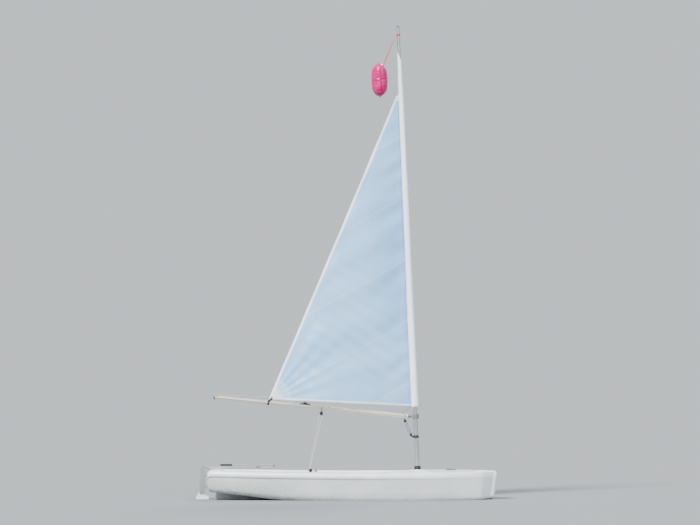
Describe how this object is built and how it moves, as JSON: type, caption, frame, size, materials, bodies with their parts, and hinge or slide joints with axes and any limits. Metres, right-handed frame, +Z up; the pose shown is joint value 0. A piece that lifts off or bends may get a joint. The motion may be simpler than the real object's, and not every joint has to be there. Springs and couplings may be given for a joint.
{
  "type": "sailing dinghy",
  "caption": "Open moulded sailing dinghy afloat, with lifting centreboard and rudder and an unstayed raked mast whose sail is partly rolled round it.",
  "frame": {"origin": "on the waterline, on the centreline, at half the hull's length", "axes": "+X to the bow, +Y to port, +Z up"},
  "size_m": [4.8037, 1.8004, 8.5791],
  "materials": {
    "hull_plastic": "rotationally moulded polyethylene, satin",
    "blade_plastic": "moulded glass fibre, gloss",
    "grey_plastic": "moulded nylon, satin",
    "black_nylon": "glass-filled nylon, moulded",
    "anodised_alloy": "anodised, satin",
    "boom_alloy": "anodised, dulled",
    "stainless_steel": "polished stainless steel",
    "black_webbing": "woven polyester webbing",
    "red_webbing": "woven polyester webbing, faded red",
    "sailcloth": "woven polyester, resin finished",
    "pink_vinyl": "welded vinyl, inflated"
  },
  "bodies": {
    "hull": {"hull": "hull_plastic", "mast_collar": "black_nylon", "case_cap": "grey_plastic", "board_pin": "stainless_steel", "foredeck_hatch": "black_nylon", "toe_straps": "black_webbing", "sheet_swivel": "stainless_steel", "swivel_block": "black_nylon", "bow_eye": "stainless_steel", "drain_plugs": "black_nylon", "gudgeons": "stainless_steel"},
    "rig": {"mast_lower": "anodised_alloy", "mast_upper": "anodised_alloy", "mast_cap": "black_nylon", "gooseneck": "grey_plastic", "gooseneck_pin": "stainless_steel", "boom": "boom_alloy", "boom_front_cap": "black_nylon", "boom_aft_cap": "black_nylon", "block_hanger": "stainless_steel", "boom_block": "black_nylon", "outhaul_cleat": "black_nylon", "clew_strap": "black_webbing", "kicker_ring": "black_nylon", "kicker_eye": "stainless_steel", "kicker": "black_nylon", "kicker_block": "black_nylon", "kicker_line": "black_webbing", "sail": "sailcloth", "tack_strap": "black_webbing", "masthead_float": "pink_vinyl", "float_strap": "red_webbing"},
    "rudder": {"rudder_stock": "anodised_alloy", "pintles": "stainless_steel", "tiller": "anodised_alloy", "blade_bolt": "stainless_steel", "extension_pin": "black_nylon"},
    "rudder_blade": {"rudder_blade": "blade_plastic"},
    "tiller_extension": {"tiller_extension": "anodised_alloy", "extension_grip": "black_nylon"},
    "centreboard": {"centreboard": "blade_plastic"}
  },
  "joints": [
    {"name": "rig_swing", "type": "hinge", "parent": "hull", "child": "rig", "pos_m": [1.03, 0, 0.462], "axis": [-0.0436, 0, 0.999], "range_deg": [-91, 79]},
    {"name": "rudder_steer", "type": "hinge", "parent": "hull", "child": "rudder", "pos_m": [-2.345, 0, 0.3], "axis": [0, 0, 1], "range_deg": [-45, 45]},
    {"name": "rudder_lift", "type": "hinge", "parent": "rudder", "child": "rudder_blade", "pos_m": [-2.411, 0, 0.13], "axis": [0, 1, 0], "range_deg": [0, 95]},
    {"name": "extension_swing", "type": "hinge", "parent": "rudder", "child": "tiller_extension", "pos_m": [-1.262, 0, 0.544], "axis": [0, 0, 1], "range_deg": [-115, 115]},
    {"name": "centreboard_lift", "type": "hinge", "parent": "hull", "child": "centreboard", "pos_m": [0.33, 0, 0.01], "axis": [0, 1, 0], "range_deg": [0, 90]}
  ]
}
